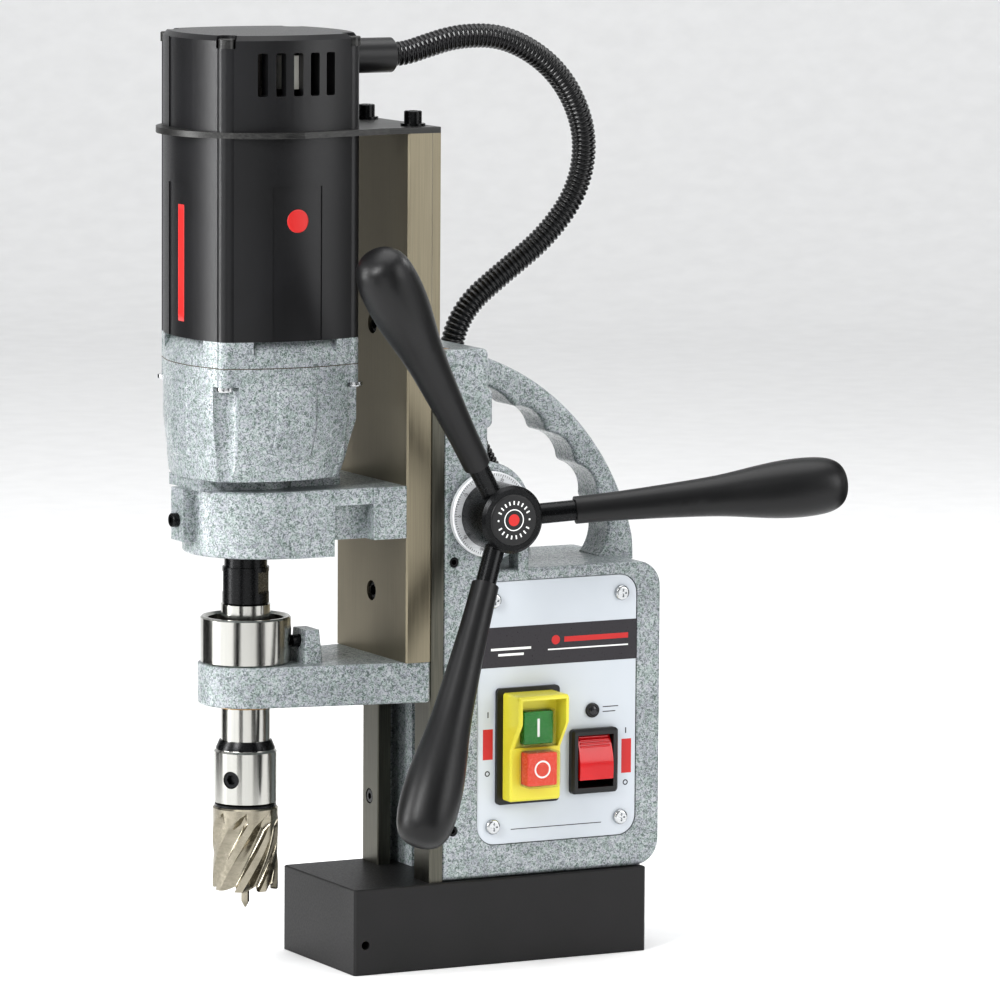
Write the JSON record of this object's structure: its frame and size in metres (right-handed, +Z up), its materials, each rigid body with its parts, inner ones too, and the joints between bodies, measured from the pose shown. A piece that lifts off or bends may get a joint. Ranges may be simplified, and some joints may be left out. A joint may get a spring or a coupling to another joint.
{
  "type": "magnetic drill press",
  "caption": "Portable magnetic drilling machine with a magnet foot, sliding motor carriage, three-spoke feed handle, annular cutter and switch panel.",
  "frame": {"origin": "centre of the magnet's underside", "axes": "+Z up along the column, -X towards the spindle, -Y out of the switch panel and feed handles"},
  "size_m": [0.3184, 0.1634, 0.4572],
  "materials": {
    "hammertone": "hammertone paint on castings",
    "magnet_steel": "satin black paint",
    "resin": "potting resin",
    "ground_steel": "ground",
    "rail_steel": "milled",
    "black_oxide": "black oxide",
    "zinc": "bright zinc",
    "bronze": "bearing bronze",
    "panel": "printed sheet",
    "black_plastic": "satin",
    "motor_plastic": "fine texture",
    "yellow_plastic": "gloss",
    "green_plastic": "gloss",
    "red_plastic": "gloss",
    "rocker_red": "translucent gloss",
    "grip_plastic": "satin",
    "conduit_nylon": "gloss",
    "polished_steel": "polished",
    "tool_steel": "ground high speed steel",
    "laminations": "laminated core",
    "white_plastic": "moulded",
    "silver_ring": "satin"
  },
  "bodies": {
    "stand": {"magnet_base": "magnet_steel", "magnet_potting": "resin", "housing": "hammertone", "rail_near": "rail_steel", "rail_far": "rail_steel", "rail_screws": "black_oxide", "gib_strip": "bronze", "gib_screws": "black_oxide", "panel_plate": "panel", "panel_screws": "zinc", "switch_base": "black_plastic", "switch_box": "yellow_plastic", "rocker_bezel": "black_plastic", "indicator": "black_plastic", "rear_plugs": "zinc", "feed_bushes": "bronze", "conduit": "conduit_nylon", "box_gland": "black_plastic"},
    "start": {"start_button": "green_plastic"},
    "stop": {"stop_button": "red_plastic"},
    "magnet_rocker": {"rocker": "rocker_red"},
    "feed": {"feed_shaft": "black_oxide", "feed_hub": "black_oxide", "hub_cap": "black_plastic", "handle_rod_1": "black_oxide", "handle_rod_2": "black_oxide", "handle_rod_3": "black_oxide", "handle_grip_1": "grip_plastic", "handle_grip_2": "grip_plastic", "handle_grip_3": "grip_plastic"},
    "dial": {"scale_ring": "silver_ring"},
    "carriage": {"slide": "ground_steel", "rack": "tool_steel", "slide_screws": "black_oxide", "lower_bracket": "hammertone", "arbor_bush": "bronze", "oil_ring": "polished_steel", "ring_stop_screw": "black_oxide", "upper_bracket": "hammertone", "spindle_bearing": "polished_steel", "bracket_screws": "black_oxide", "gear_case": "hammertone", "case_flange": "hammertone", "case_screws": "zinc", "motor_body": "motor_plastic", "motor_cap": "motor_plastic", "cap_screws": "black_oxide", "support_plate": "zinc", "plate_screws": "black_oxide", "stator": "laminations", "brush_holders": "white_plastic", "cap_gland": "black_plastic"},
    "idler_gear": {"idler": "tool_steel"},
    "rotor": {"armature": "laminations"},
    "spindle": {"drive_shaft": "black_oxide", "arbor": "polished_steel", "holder_screw": "black_oxide", "cutter": "tool_steel"},
    "pilot": {"pilot_pin": "tool_steel", "ejector_spring": "tool_steel"}
  },
  "joints": [
    {"name": "carriage_slide", "type": "slide", "parent": "stand", "child": "carriage", "axis": [0, 0, 1], "range_m": [-0.085, 0.04], "deforming": ["conduit"]},
    {"name": "feed_turn", "type": "hinge", "parent": "stand", "child": "feed", "pos_m": [-0.0081, 0, 0.2217], "axis": [0, 1, 0], "range_deg": [-407, 192]},
    {"name": "dial_turn", "type": "hinge", "parent": "feed", "child": "dial", "pos_m": [-0.0081, -0.041, 0.2217], "axis": [0, 1, 0], "continuous": true},
    {"name": "rotor_spin", "type": "hinge", "parent": "carriage", "child": "rotor", "pos_m": [-0.1125, 0, 0.35], "axis": [0, 0, 1], "continuous": true},
    {"name": "idler_spin", "type": "hinge", "parent": "carriage", "child": "idler_gear", "pos_m": [-0.0957, 0.01084, 0.26], "axis": [0, 0, 1], "continuous": true},
    {"name": "spindle_spin", "type": "hinge", "parent": "carriage", "child": "spindle", "pos_m": [-0.1196, 0, 0.15], "axis": [0, 0, 1], "continuous": true},
    {"name": "pilot_slide", "type": "slide", "parent": "spindle", "child": "pilot", "axis": [0, 0, 1], "range_m": [0, 0.01], "stiffness_N_per_m": 300, "springref_m": -0.01, "deforming": ["ejector_spring"]},
    {"name": "start_press", "type": "slide", "parent": "stand", "child": "start", "axis": [0, 1, 0], "range_m": [0, 0.003], "stiffness_N_per_m": 600, "springref_m": -0.002},
    {"name": "stop_press", "type": "slide", "parent": "stand", "child": "stop", "axis": [0, 1, 0], "range_m": [0, 0.003], "stiffness_N_per_m": 600, "springref_m": -0.002},
    {"name": "magnet_switch", "type": "hinge", "parent": "stand", "child": "magnet_rocker", "pos_m": [0.0512, -0.0305, 0.0965], "axis": [1, 0, 0], "range_deg": [0, 24]}
  ],
  "couplings": [
    {"joint": "feed_turn", "follows": "carriage_slide", "rad_per_m": 83.333},
    {"joint": "idler_spin", "follows": "rotor_spin", "ratio": -0.42857},
    {"joint": "spindle_spin", "follows": "rotor_spin", "ratio": 0.17143}
  ]
}
